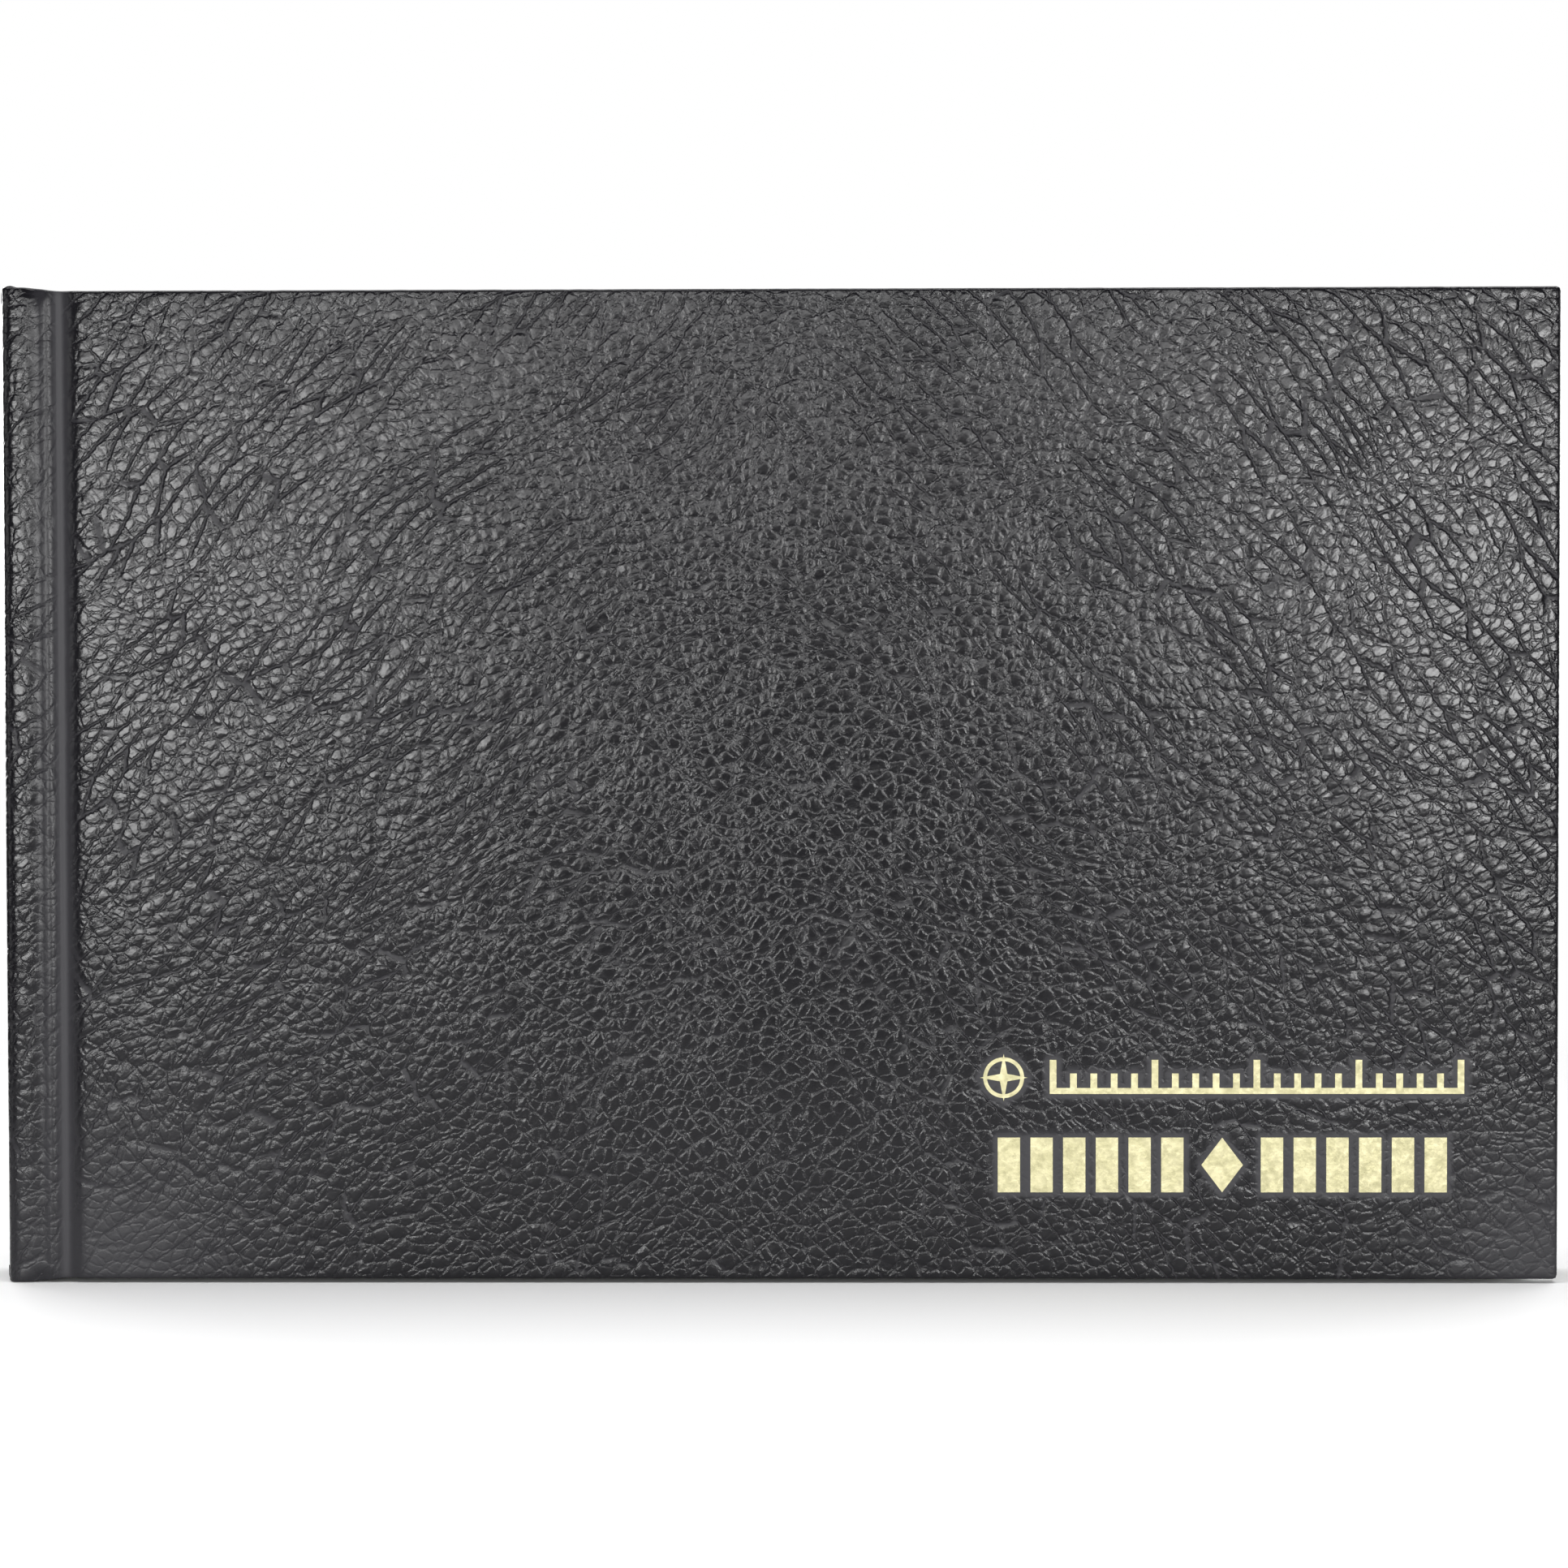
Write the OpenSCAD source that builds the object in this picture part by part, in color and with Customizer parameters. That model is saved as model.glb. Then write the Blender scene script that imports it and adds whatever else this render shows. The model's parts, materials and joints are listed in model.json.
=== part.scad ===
// Case-bound pilot logbook, standing on its tail edge with the front cover towards -Y.
// X runs from the spine to the fore edge, Y through the thickness, Z from tail to head.
// Every sub-part of the binding is a closed solid of its own.

/* [Text block] */
// Width of one page, from its fold to the fore edge
page_w = 203.2; // [150:0.1:260]
// Height of one page
page_h = 127; // [100:0.5:170]
// Thickness of one leaf of ledger paper
leaf_t = 0.12; // [0.1:0.01:0.16]
// Leaves in each sewn section
leaves_per_section = 12; // [12:2:16]
// Sewn sections in the text block
sections = 6; // [4:1:9]

/* [Case] */
// Thickness of a greyboard cover board
board_t = 2; // [1.6:0.1:2.6]
// Thickness of the leatherette
skin_t = 0.4; // [0.3:0.05:0.5]
// Overhang of the boards past the pages at head, tail and fore edge
square_w = 3.2; // [2.5:0.1:4]
// Width of the leatherette turned in over the inside of a board
turn_in = 15; // [10:1:18]
// Distance from the outer face of the spine to the middle of the joint groove
joint_x = 7.9; // [7.5:0.1:9]
// Thickness of the card strip inside the spine
spine_card_t = 1.2; // [0.8:0.1:1.3]

/* [Endpapers] */
// Thickness of one endpaper leaf
endpaper_t = 0.18; // [0.15:0.01:0.22]
// Inset of the pastedown from the board's edges
pastedown_inset = 3.2; // [2.5:0.1:5]

/* [Gold foil] */
// Height of the stripes in the lower row
stripe_h = 7.4; // [5:0.1:9]
// Stripes on each side of the lozenge in the middle of the lower row
stripes = 6; // [3:1:6]
// Outer diameter of the round emblem
emblem_d = 6.4; // [5:0.1:8]

/* [Hidden] */

// Loose leaves that turn on their own at each side of the text block
front_leaves = 7;
back_leaves = 3;
// Air between two sheets that move on different hinges
sheet_gap = 0.04;
leaf_pitch = leaf_t + sheet_gap;

// Depths below the outer face of a cover, counted inwards
board_depth = skin_t;
turn_in_depth = board_depth + board_t;
pastedown_depth = turn_in_depth + skin_t;
flyleaf_depth = pastedown_depth + endpaper_t + sheet_gap;
block_depth = flyleaf_depth + endpaper_t + sheet_gap;

// Thickness of one section, of the whole text block and of the closed book
section_t = leaves_per_section * leaf_t;
block_t = sections * section_t + (front_leaves + back_leaves) * sheet_gap;
book_t = block_t + 2 * block_depth;

// Heights: the spine stands slightly proud of the boards at both ends
spine_proud = 0.5;
board_z0 = spine_proud;
board_h = page_h + 2 * square_w;
spine_h = board_h + 2 * spine_proud;
page_z0 = board_z0 + square_w;

// Distances from the outer face of the spine along the width
fold_x = 2.9;
fore_x = fold_x + page_w;
cover_w = fore_x + square_w;
board_x = joint_x + 1.8;
cover_lip_x = joint_x + 0.4;
spine_lip_x = joint_x - 0.4;
stub_end_x = joint_x + 1.3;
leaf_x = joint_x + 1.6;
lining_t = 0.25;
mull_t = 0.2;
flap_w = 22;

// Foil: each mark lies in a pocket pressed into the leatherette
foil_t = 0.08;
foil_pocket = 0.1;
foil_mid_x = 164.2;
stripe_z = 12.3;
stripe_w = 3;
stripe_pitch = 4.4;
first_stripe = 5.2;
lozenge_w = 5.6;
emblem_x = 134.8;
emblem_z = 27.8;
scale_x = 141;
scale_z = 25.6;
scale_h = 4.6;
scale_rule_t = 0.8;
tick_pitch = 2.74;
tick_w = 0.9;
ticks = 21;

$fn = 48;

// Moves a profile drawn from the spine face and the outer face of the front cover into place
module front_side(z, h) {
    translate([-cover_w / 2, -book_t / 2, z]) linear_extrude(h) children();
}

// The same for the back cover, mirrored through the middle of the text block
module back_side(z, h) {
    mirror([0, 1, 0]) front_side(z, h) children();
}

// Rectangle from x0 to x1 and from depth d0 to depth d1
module strip(x0, x1, d0, d1) {
    translate([x0, d0]) square([x1 - x0, d1 - d0]);
}

// ---------- cover boards ----------

module board_plate() {
    strip(board_x, cover_w - skin_t, board_depth, turn_in_depth);
}

module front_board() {
    color("silver") front_side(board_z0 + skin_t, board_h - 2 * skin_t) board_plate();
}

module back_board() {
    color("silver") back_side(board_z0 + skin_t, board_h - 2 * skin_t) board_plate();
}

// ---------- leatherette over a board ----------

// Outline of board and leatherette together, with the slope down into the joint groove
module cover_outline() {
    edge_round = 0.5;
    polygon([
        [cover_lip_x, 1.3],
        [board_x - 0.6, 0.45],
        [board_x - 0.1, 0.1],
        [board_x + 0.5, 0],
        [cover_w - edge_round, 0],
        [cover_w, edge_round],
        [cover_w, pastedown_depth - edge_round],
        [cover_w - edge_round, pastedown_depth],
        [board_x, pastedown_depth],
        [board_x, 0.95],
        [cover_lip_x, 1.7]
    ]);
}

// Leatherette wrapped round three edges, with its turn-ins on the inside
module cover_wrap() {
    difference() {
        front_side(board_z0, board_h) cover_outline();
        front_side(board_z0 + skin_t, board_h - 2 * skin_t)
            strip(board_x - 1, cover_w - skin_t, board_depth, turn_in_depth);
        front_side(board_z0 + turn_in, board_h - 2 * turn_in)
            strip(board_x - 1, cover_w - turn_in, turn_in_depth - 1, pastedown_depth + 1);
    }
}

// The lip of leatherette that reaches from the board down into the groove
module cover_lip() {
    front_side(board_z0 + skin_t, board_h - 2 * skin_t)
        polygon([
            [cover_lip_x, 1.3],
            [board_x - 0.6, 0.45],
            [board_x - 0.1, 0.1],
            [board_x, 0.08],
            [board_x, board_depth],
            [board_x - 0.3, 0.7],
            [cover_lip_x, 1.7]
        ]);
}

module front_leatherette() {
    color("dimgray") difference() {
        union() {
            cover_wrap();
            cover_lip();
        }
        foil_layout(foil_pocket);
    }
}

module back_leatherette() {
    color("dimgray") mirror([0, 1, 0]) union() {
        cover_wrap();
        cover_lip();
    }
}

// ---------- pastedowns and the gauze under them ----------

// Gauze glued to the inside of a board, under the pastedown
module mull_flap() {
    front_side(board_z0 + turn_in, board_h - 2 * turn_in)
        strip(board_x, board_x + flap_w, turn_in_depth, turn_in_depth + mull_t);
}

// Paper glued to the inside of a board: it steps down past the edges of turn-ins and gauze
module pastedown() {
    well_x1 = cover_w - turn_in;
    well_z0 = board_z0 + turn_in;
    well_h = board_h - 2 * turn_in;
    paper_depth = pastedown_depth + endpaper_t;
    difference() {
        union() {
            front_side(board_z0 + pastedown_inset, board_h - 2 * pastedown_inset)
                strip(board_x, cover_w - pastedown_inset, pastedown_depth, paper_depth);
            front_side(well_z0, well_h)
                strip(board_x, well_x1, turn_in_depth, paper_depth);
        }
        front_side(well_z0 + endpaper_t, well_h - 2 * endpaper_t) {
            strip(board_x - 1, well_x1 - endpaper_t, turn_in_depth + mull_t + endpaper_t, block_depth);
            strip(board_x + flap_w + endpaper_t, well_x1 - endpaper_t,
                turn_in_depth + endpaper_t, block_depth);
        }
        mull_flap();
    }
}

module front_mull_flap() {
    color("wheat") mull_flap();
}

module back_mull_flap() {
    color("wheat") mirror([0, 1, 0]) mull_flap();
}

module front_pastedown() {
    color("ivory") pastedown();
}

module back_pastedown() {
    color("ivory") mirror([0, 1, 0]) pastedown();
}

// ---------- gold foil on the front cover ----------

// One mark, from the outer face of the cover inwards by depth
module foil_layer(depth) {
    translate([-cover_w / 2, -book_t / 2 + depth, 0])
        rotate([90, 0, 0]) linear_extrude(depth) children();
}

module emblem_outline() {
    star_r = emblem_d * 0.5;
    waist_r = emblem_d * 0.11;
    translate([emblem_x, emblem_z]) {
        difference() {
            circle(d = emblem_d * 0.86);
            circle(d = emblem_d * 0.7);
        }
        polygon([
            for (i = [0:7])
                let (r = i % 2 == 0 ? star_r : waist_r)
                [r * sin(45 * i), r * cos(45 * i)]
        ]);
    }
}

module scale_outline() {
    translate([scale_x, scale_z]) {
        square([(ticks - 1) * tick_pitch + tick_w, scale_rule_t]);
        for (i = [0:ticks - 1])
            translate([i * tick_pitch, 0])
                square([tick_w, i % 5 == 0 ? scale_h : scale_h * 0.6]);
    }
}

// Two rows of upright stripes with a lozenge between them, like the end of a runway
module stripes_outline() {
    translate([foil_mid_x, stripe_z]) {
        for (side = [-1, 1], i = [0:stripes - 1])
            translate([side * (first_stripe + i * stripe_pitch) + (side - 1) * stripe_w / 2, 0])
                square([stripe_w, stripe_h]);
        polygon([
            [-lozenge_w / 2, stripe_h / 2],
            [0, 0],
            [lozenge_w / 2, stripe_h / 2],
            [0, stripe_h]
        ]);
    }
}

module foil_layout(depth) {
    foil_layer(depth) emblem_outline();
    foil_layer(depth) scale_outline();
    foil_layer(depth) stripes_outline();
}

// A mark lies on the floor of its pocket, a hair below the surface
module foil(depth) {
    translate([0, foil_pocket - foil_t, 0]) foil_layer(depth) children();
}

module foil_emblem() {
    color("gold") foil(foil_t) emblem_outline();
}

module foil_scale() {
    color("gold") foil(foil_t) scale_outline();
}

module foil_stripes() {
    color("gold") foil(foil_t) stripes_outline();
}

// ---------- spine ----------

// Outer line of the spine from the front groove to its middle, as [distance, depth]
spine_outer = [
    [spine_lip_x, 1.45],
    [joint_x - 1.2, 0.45],
    [joint_x - 2, 0.12],
    [joint_x - 3.1, 0.3],
    [joint_x - 4.4, 0.1],
    [1.3, 0.05],
    [0.4, 0.4],
    [0, 1.3]
];
// The same line one thickness of leatherette further in
spine_inner = [
    [spine_lip_x, 1.85],
    [joint_x - 1.4, 0.9],
    [joint_x - 2.1, 0.55],
    [joint_x - 3.1, 0.7],
    [joint_x - 4.4, 0.5],
    [1.5, 0.45],
    [0.7, 0.7],
    [skin_t, 1.4]
];

card_depth = 1.45;
card_z0 = spine_proud + skin_t;

// The same points seen from the back cover, and the same points in reverse order
function across(points) = [for (p = points) [p[0], book_t - p[1]]];
function reversed(points) = [for (i = [len(points) - 1:-1:0]) points[i]];

// Leatherette folded over one end of the card and turned in behind it
module spine_turn_in() {
    card_back = skin_t + spine_card_t;
    front_side(0, card_z0) strip(skin_t / 2, card_back + skin_t, card_depth, book_t - card_depth);
    front_side(card_z0, turn_in) strip(card_back, card_back + skin_t, card_depth, book_t - card_depth);
}

module spine_leatherette() {
    color("dimgray") {
        front_side(0, spine_h)
            polygon(concat(
                spine_outer,
                reversed(across(spine_outer)),
                across(spine_inner),
                reversed(spine_inner)
            ));
        spine_turn_in();
        translate([0, 0, spine_h]) mirror([0, 0, 1]) spine_turn_in();
    }
}

module spine_card() {
    color("tan") front_side(card_z0, spine_h - 2 * card_z0)
        strip(skin_t, skin_t + spine_card_t, card_depth, book_t - card_depth);
}

// Kraft paper glued over the mull on the back of the sections
module spine_lining() {
    color("peru") front_side(page_z0 + 2, page_h - 4)
        strip(fold_x - mull_t - lining_t, fold_x - mull_t, block_depth, book_t - block_depth);
}

// Open gauze glued to the folds, with a flap along each joint
module mull() {
    flap_depth = 2.2;
    color("wheat") front_side(page_z0 + 6, page_h - 12) {
        strip(fold_x - mull_t, fold_x, flap_depth, book_t - flap_depth);
        strip(fold_x - mull_t, spine_lip_x, flap_depth, flap_depth + mull_t);
        strip(fold_x - mull_t, spine_lip_x, book_t - flap_depth - mull_t, book_t - flap_depth);
    }
}

// ---------- endpapers ----------

// Folded strip between pastedown and flyleaf, tipped to the outer section along its fold
module endpaper_joint() {
    front_side(page_z0, page_h) {
        strip(fold_x, spine_lip_x, pastedown_depth, pastedown_depth + endpaper_t);
        strip(fold_x, fold_x + endpaper_t, pastedown_depth, flyleaf_depth + endpaper_t);
        strip(fold_x, stub_end_x, flyleaf_depth, flyleaf_depth + endpaper_t);
    }
}

module flyleaf() {
    front_side(page_z0, page_h)
        strip(leaf_x, fore_x, flyleaf_depth, flyleaf_depth + endpaper_t);
}

module front_endpaper_joint() {
    color("ivory") endpaper_joint();
}

module back_endpaper_joint() {
    color("ivory") mirror([0, 1, 0]) endpaper_joint();
}

module front_flyleaf() {
    color("ivory") flyleaf();
}

module back_flyleaf() {
    color("ivory") mirror([0, 1, 0]) flyleaf();
}

// ---------- text block ----------

// Depth at which section n starts: the outer two are thicker by the air round their loose leaves
function section_start(n) =
    block_depth + (n - 1) * section_t + (n > 1 ? front_leaves * sheet_gap : 0);
function section_end(n) =
    section_start(n + 1) + (n == sections ? back_leaves * sheet_gap : 0);

// A section with its rounded fold; the loose leaves start past the stub at its gutter
module section(n) {
    start = section_start(n);
    end = section_end(n);
    loose_front = n == 1 ? front_leaves * leaf_pitch : 0;
    loose_back = n == sections ? back_leaves * leaf_pitch : 0;
    fold_r = (end - start) / 2;
    color("honeydew") front_side(page_z0, page_h) {
        translate([fold_x + fold_r, start + fold_r]) circle(r = fold_r);
        strip(fold_x + fold_r, stub_end_x, start, end);
        strip(fold_x + fold_r, fore_x, start + loose_front, end - loose_back);
    }
}

// Leaf n of the loose leaves, counted from its cover
module leaf(n) {
    depth = block_depth + (n - 1) * leaf_pitch;
    front_side(page_z0, page_h) strip(leaf_x, fore_x, depth, depth + leaf_t);
}

module front_leaf(n) {
    color("honeydew") leaf(n);
}

module back_leaf(n) {
    color("honeydew") mirror([0, 1, 0]) leaf(n);
}

// Stitches in the valleys between neighbouring folds
module sewing_thread() {
    thread_r = 0.15;
    stitches = 5;
    stitch_h = page_h / (stitches * 2);
    color("white")
        for (n = [2:sections], i = [0:stitches - 1])
            translate([
                fold_x + thread_r - cover_w / 2,
                section_start(n) - book_t / 2,
                page_z0 + (2 * i + 0.5) * stitch_h
            ]) cylinder(r = thread_r, h = stitch_h, $fn = 24);
}

// Woven bead across the end of the folds
module end_band(z) {
    bead_r = 0.7;
    color("white") translate([
        fold_x + bead_r - cover_w / 2, book_t / 2 - block_depth, z
    ]) rotate([90, 0, 0]) cylinder(r = bead_r, h = book_t - 2 * block_depth);
}

module head_band() {
    end_band(page_z0 + page_h + 0.75);
}

module tail_band() {
    end_band(page_z0 - 0.75);
}

// ---------- nodes ----------

front_board();
front_leatherette();
front_pastedown();
front_mull_flap();
foil_emblem();
foil_scale();
foil_stripes();
back_board();
back_leatherette();
back_pastedown();
back_mull_flap();
spine_card();
spine_leatherette();
spine_lining();
mull();
sewing_thread();
head_band();
tail_band();
front_endpaper_joint();
back_endpaper_joint();
front_flyleaf();
back_flyleaf();
section(1);  // section_1
section(2);  // section_2
section(3);  // section_3
section(4);  // section_4
section(5);  // section_5
section(6);  // section_6
front_leaf(1);  // front_leaf_1
front_leaf(2);  // front_leaf_2
front_leaf(3);  // front_leaf_3
front_leaf(4);  // front_leaf_4
front_leaf(5);  // front_leaf_5
front_leaf(6);  // front_leaf_6
front_leaf(7);  // front_leaf_7
back_leaf(1);  // back_leaf_1
back_leaf(2);  // back_leaf_2
back_leaf(3);  // back_leaf_3
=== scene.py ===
# The looks of a case-bound pilot logbook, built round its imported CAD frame.
# Distances on the book are in millimetres: s from the spine, d below the outer face of a cover.
import json
import math
import bpy
import numpy as np
from mathutils import Matrix, Vector
from mathutils.bvhtree import BVHTree


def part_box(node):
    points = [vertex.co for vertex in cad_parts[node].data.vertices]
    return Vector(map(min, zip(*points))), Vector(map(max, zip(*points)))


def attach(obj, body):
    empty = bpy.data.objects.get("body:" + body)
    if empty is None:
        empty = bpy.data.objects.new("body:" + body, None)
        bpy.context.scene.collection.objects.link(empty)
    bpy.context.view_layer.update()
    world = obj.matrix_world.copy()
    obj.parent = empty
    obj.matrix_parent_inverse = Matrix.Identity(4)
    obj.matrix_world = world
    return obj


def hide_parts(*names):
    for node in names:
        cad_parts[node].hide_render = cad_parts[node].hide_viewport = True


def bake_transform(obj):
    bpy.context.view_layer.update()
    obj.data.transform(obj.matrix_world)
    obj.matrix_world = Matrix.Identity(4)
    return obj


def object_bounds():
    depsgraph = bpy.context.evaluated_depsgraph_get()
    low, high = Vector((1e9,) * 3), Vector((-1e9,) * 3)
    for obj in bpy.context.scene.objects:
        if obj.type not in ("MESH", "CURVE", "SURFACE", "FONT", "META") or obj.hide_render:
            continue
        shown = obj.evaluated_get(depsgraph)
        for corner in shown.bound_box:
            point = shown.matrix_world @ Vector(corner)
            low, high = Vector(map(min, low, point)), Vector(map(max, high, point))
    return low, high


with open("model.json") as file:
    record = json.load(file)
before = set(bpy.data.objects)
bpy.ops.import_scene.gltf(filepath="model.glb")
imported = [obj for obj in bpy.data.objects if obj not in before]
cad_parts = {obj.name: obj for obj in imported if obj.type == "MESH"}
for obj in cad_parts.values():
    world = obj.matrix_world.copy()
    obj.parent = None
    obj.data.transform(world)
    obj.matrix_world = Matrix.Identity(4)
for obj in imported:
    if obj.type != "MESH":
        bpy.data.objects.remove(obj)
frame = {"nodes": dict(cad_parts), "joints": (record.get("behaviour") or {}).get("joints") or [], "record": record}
CAD_LOW, CAD_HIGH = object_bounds()
MM = 0.001
FRONT, BACK = -1, 1
SIDE_NAMES = {FRONT: "front", BACK: "back"}


def mm(value):
    """A length in metres as millimetres."""
    return value / MM


# ---------- the frame's own sizes, in millimetres ----------

SPINE_X = mm(CAD_LOW[0])
HALF_T = mm(CAD_HIGH[1])
SPINE_H = mm(CAD_HIGH[2])
COVER_LOW, COVER_HIGH = (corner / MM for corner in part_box("front_leatherette"))
BOARD_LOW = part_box("front_board")[0] / MM
PASTE_LOW, PASTE_HIGH = (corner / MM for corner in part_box("front_pastedown"))
PAGE_LOW, PAGE_HIGH = (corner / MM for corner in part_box("section_2"))
CARD_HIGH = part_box("spine_card")[1] / MM
BAND_LOW, BAND_HIGH = (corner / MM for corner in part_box("head_band"))
HINGE = {joint["name"]: joint for joint in frame["joints"]}
HINGE_S = mm(HINGE["front_cover_hinge"]["pos_m"][0]) - SPINE_X

COVER_S = COVER_HIGH.x - SPINE_X
COVER_Z0, COVER_Z1 = COVER_LOW.z, COVER_HIGH.z
COVER_T = COVER_HIGH.y - COVER_LOW.y
BOARD_S = BOARD_LOW.x - SPINE_X
SKIN_T = BOARD_LOW.y - COVER_LOW.y
FOLD_S = PAGE_LOW.x - SPINE_X
FORE_S = PAGE_HIGH.x - SPINE_X
TURN_IN = 15
PAPER_T = 0.18
# Paper keeps a crisp edge where its faces meet at more than this
SHARP_ANGLE = math.radians(50)


def depth_of(node, side):
    """Depths of a node's two faces below the outer face of the cover on that side."""
    node_low, node_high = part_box(node)
    if side == FRONT:
        return mm(node_low.y) + HALF_T, mm(node_high.y) + HALF_T
    return HALF_T - mm(node_high.y), HALF_T - mm(node_low.y)


def place(s, d, z, side):
    """Points at distance s, depth d and height z on one side of the book, in metres."""
    s, d, z = np.broadcast_arrays(s, d, z)
    return np.stack([SPINE_X + s, side * (HALF_T - d), z], axis=-1) * MM


# ---------- meshes ----------


def mesh_object(name, points, faces, flip=False, smooth=True):
    """A mesh object from points in metres and lists of point numbers."""
    if flip:
        faces = [tuple(reversed(face)) for face in faces]
    mesh = bpy.data.meshes.new(name)
    mesh.from_pydata(np.asarray(points, float).reshape(-1, 3).tolist(), [], faces)
    mesh.validate()
    mesh.update()
    mesh.polygons.foreach_set("use_smooth", [smooth] * len(mesh.polygons))
    piece = bpy.data.objects.new(name, mesh)
    bpy.context.scene.collection.objects.link(piece)
    return piece


def grid_faces(rows, columns, start=0, closed=False):
    """Quads between neighbouring rows of a grid of points; closed joins each row's ends."""
    faces = []
    for row in range(rows - 1):
        for column in range(columns if closed else columns - 1):
            a = start + row * columns + column
            b = start + row * columns + (column + 1) % columns
            faces.append((a, b, b + columns, a + columns))
    return faces


def two_layer_faces(rows, columns):
    """Faces of two grids of points, the second below the first, joined all round their rim."""
    count = rows * columns
    faces = grid_faces(rows, columns)
    faces += [tuple(p + count for p in reversed(face)) for face in grid_faces(rows, columns)]
    rim = list(range(columns)) + [r * columns + columns - 1 for r in range(1, rows)]
    rim += [(rows - 1) * columns + c for c in range(columns - 2, -1, -1)]
    rim += [r * columns for r in range(rows - 2, 0, -1)]
    for i, a in enumerate(rim):
        b = rim[(i + 1) % len(rim)]
        faces.append((b, a, a + count, b + count))
    return faces


def set_sheet(piece, uv):
    """Gives each point its place on the flat, unfolded sheet, in millimetres."""
    flat = np.zeros((len(uv), 3), np.float32)
    flat[:, :2] = uv
    attribute = piece.data.attributes.new("sheet", "FLOAT_VECTOR", "POINT")
    attribute.data.foreach_set("vector", flat.ravel())


def set_attribute(piece, name, values):
    attribute = piece.data.attributes.new(name, "FLOAT", "POINT")
    attribute.data.foreach_set("value", np.asarray(values, np.float32))


# ---------- patterns worked out for the points of a mesh ----------


def smooth_step(x, low, high):
    t = np.clip((x - low) / (high - low), 0, 1)
    return t * t * (3 - 2 * t)


def smooth_noise(x, z, size, seed):
    """Soft noise from -1 to 1 with bumps about size millimetres apart."""
    lattice = np.random.default_rng(seed).uniform(-1, 1, (97, 89))
    gx, gz = x / size + 40, z / size + 40
    ix, iz = np.floor(gx).astype(int), np.floor(gz).astype(int)
    fx, fz = gx - ix, gz - iz
    fx, fz = fx * fx * (3 - 2 * fx), fz * fz * (3 - 2 * fz)

    def corner(dx, dz):
        return lattice[(ix + dx) % 97, (iz + dz) % 89]

    lower = corner(0, 0) * (1 - fx) + corner(1, 0) * fx
    upper = corner(0, 1) * (1 - fx) + corner(1, 1) * fx
    return lower * (1 - fz) + upper * fz


# ---------- node trees ----------


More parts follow.
